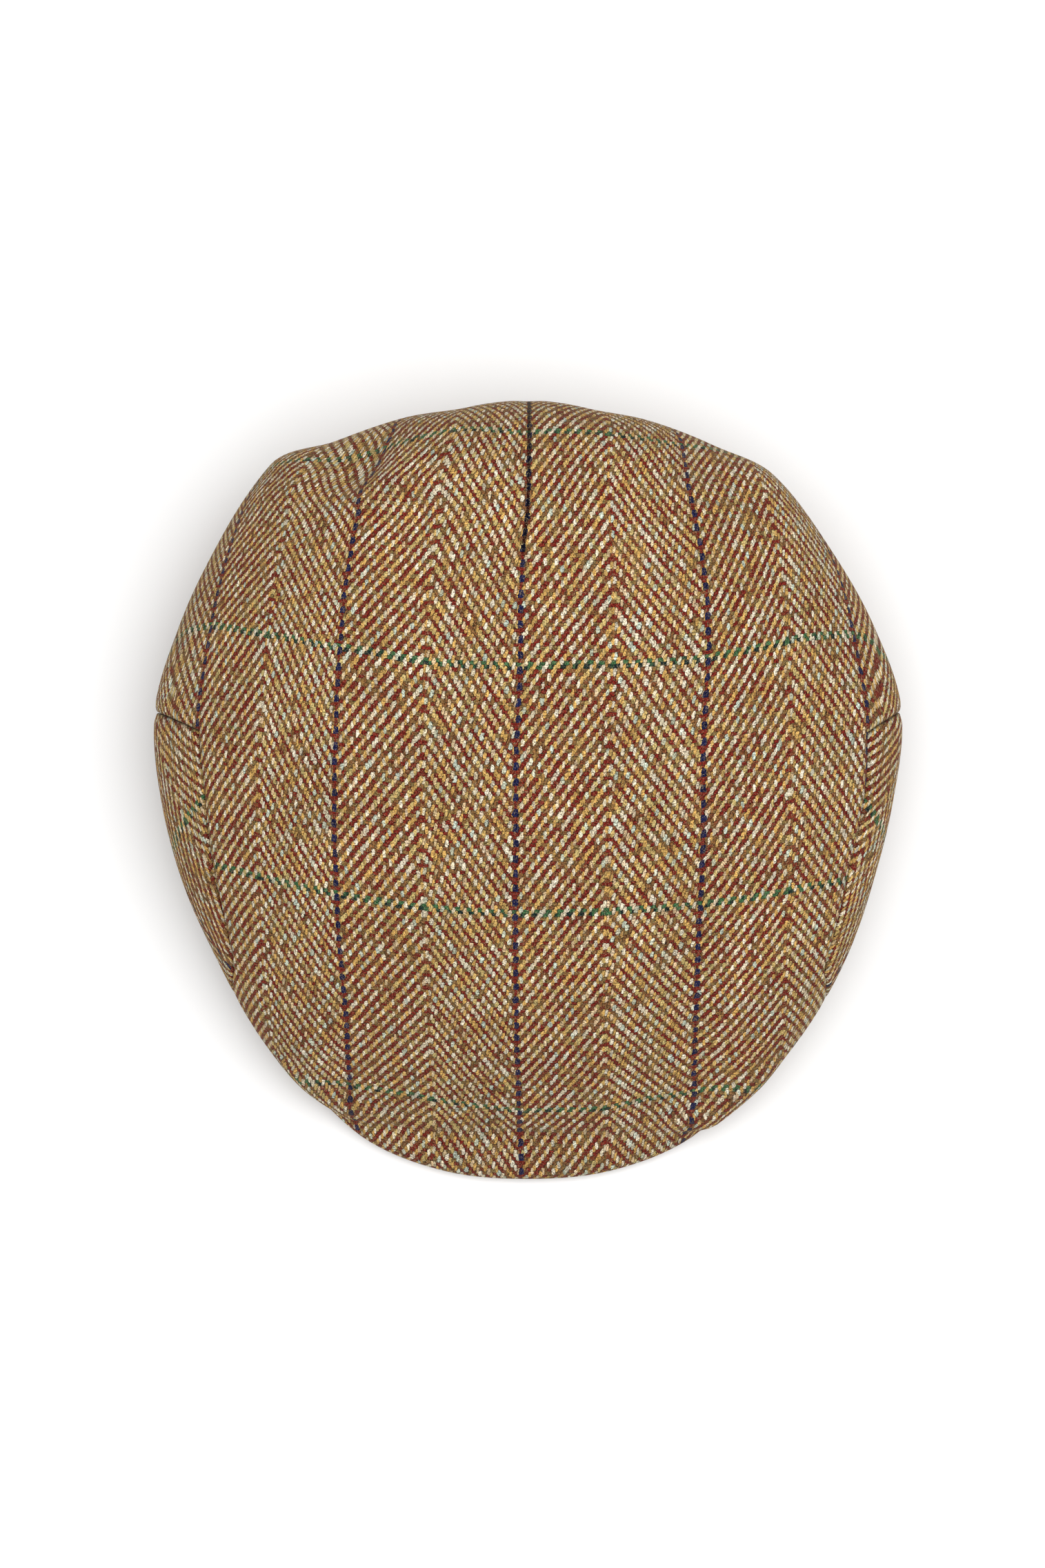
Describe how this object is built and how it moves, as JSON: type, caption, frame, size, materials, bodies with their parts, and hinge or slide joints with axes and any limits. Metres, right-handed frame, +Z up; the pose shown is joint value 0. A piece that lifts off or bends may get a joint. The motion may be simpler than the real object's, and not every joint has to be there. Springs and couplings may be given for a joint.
{
  "type": "flat cap",
  "caption": "Soft tweed flat cap with a full crown pulled down over a short stiff peak, side panels from temple to ear and an open head hollow.",
  "frame": {"origin": "on the table under the middle of the cap's box, which is the plane that the back rim and the peak's edge rest on", "axes": "+Z up, -Y the way the peak points, +X to the right seen from above with the peak towards the viewer"},
  "size_m": [0.251, 0.2623, 0.1085],
  "materials": {
    "tweed": "matt brown wool herringbone with navy and green overcheck"
  },
  "bodies": {
    "root": {"top_panel": "tweed", "side_panel_left": "tweed", "side_panel_right": "tweed", "peak": "tweed"}
  },
  "joints": []
}
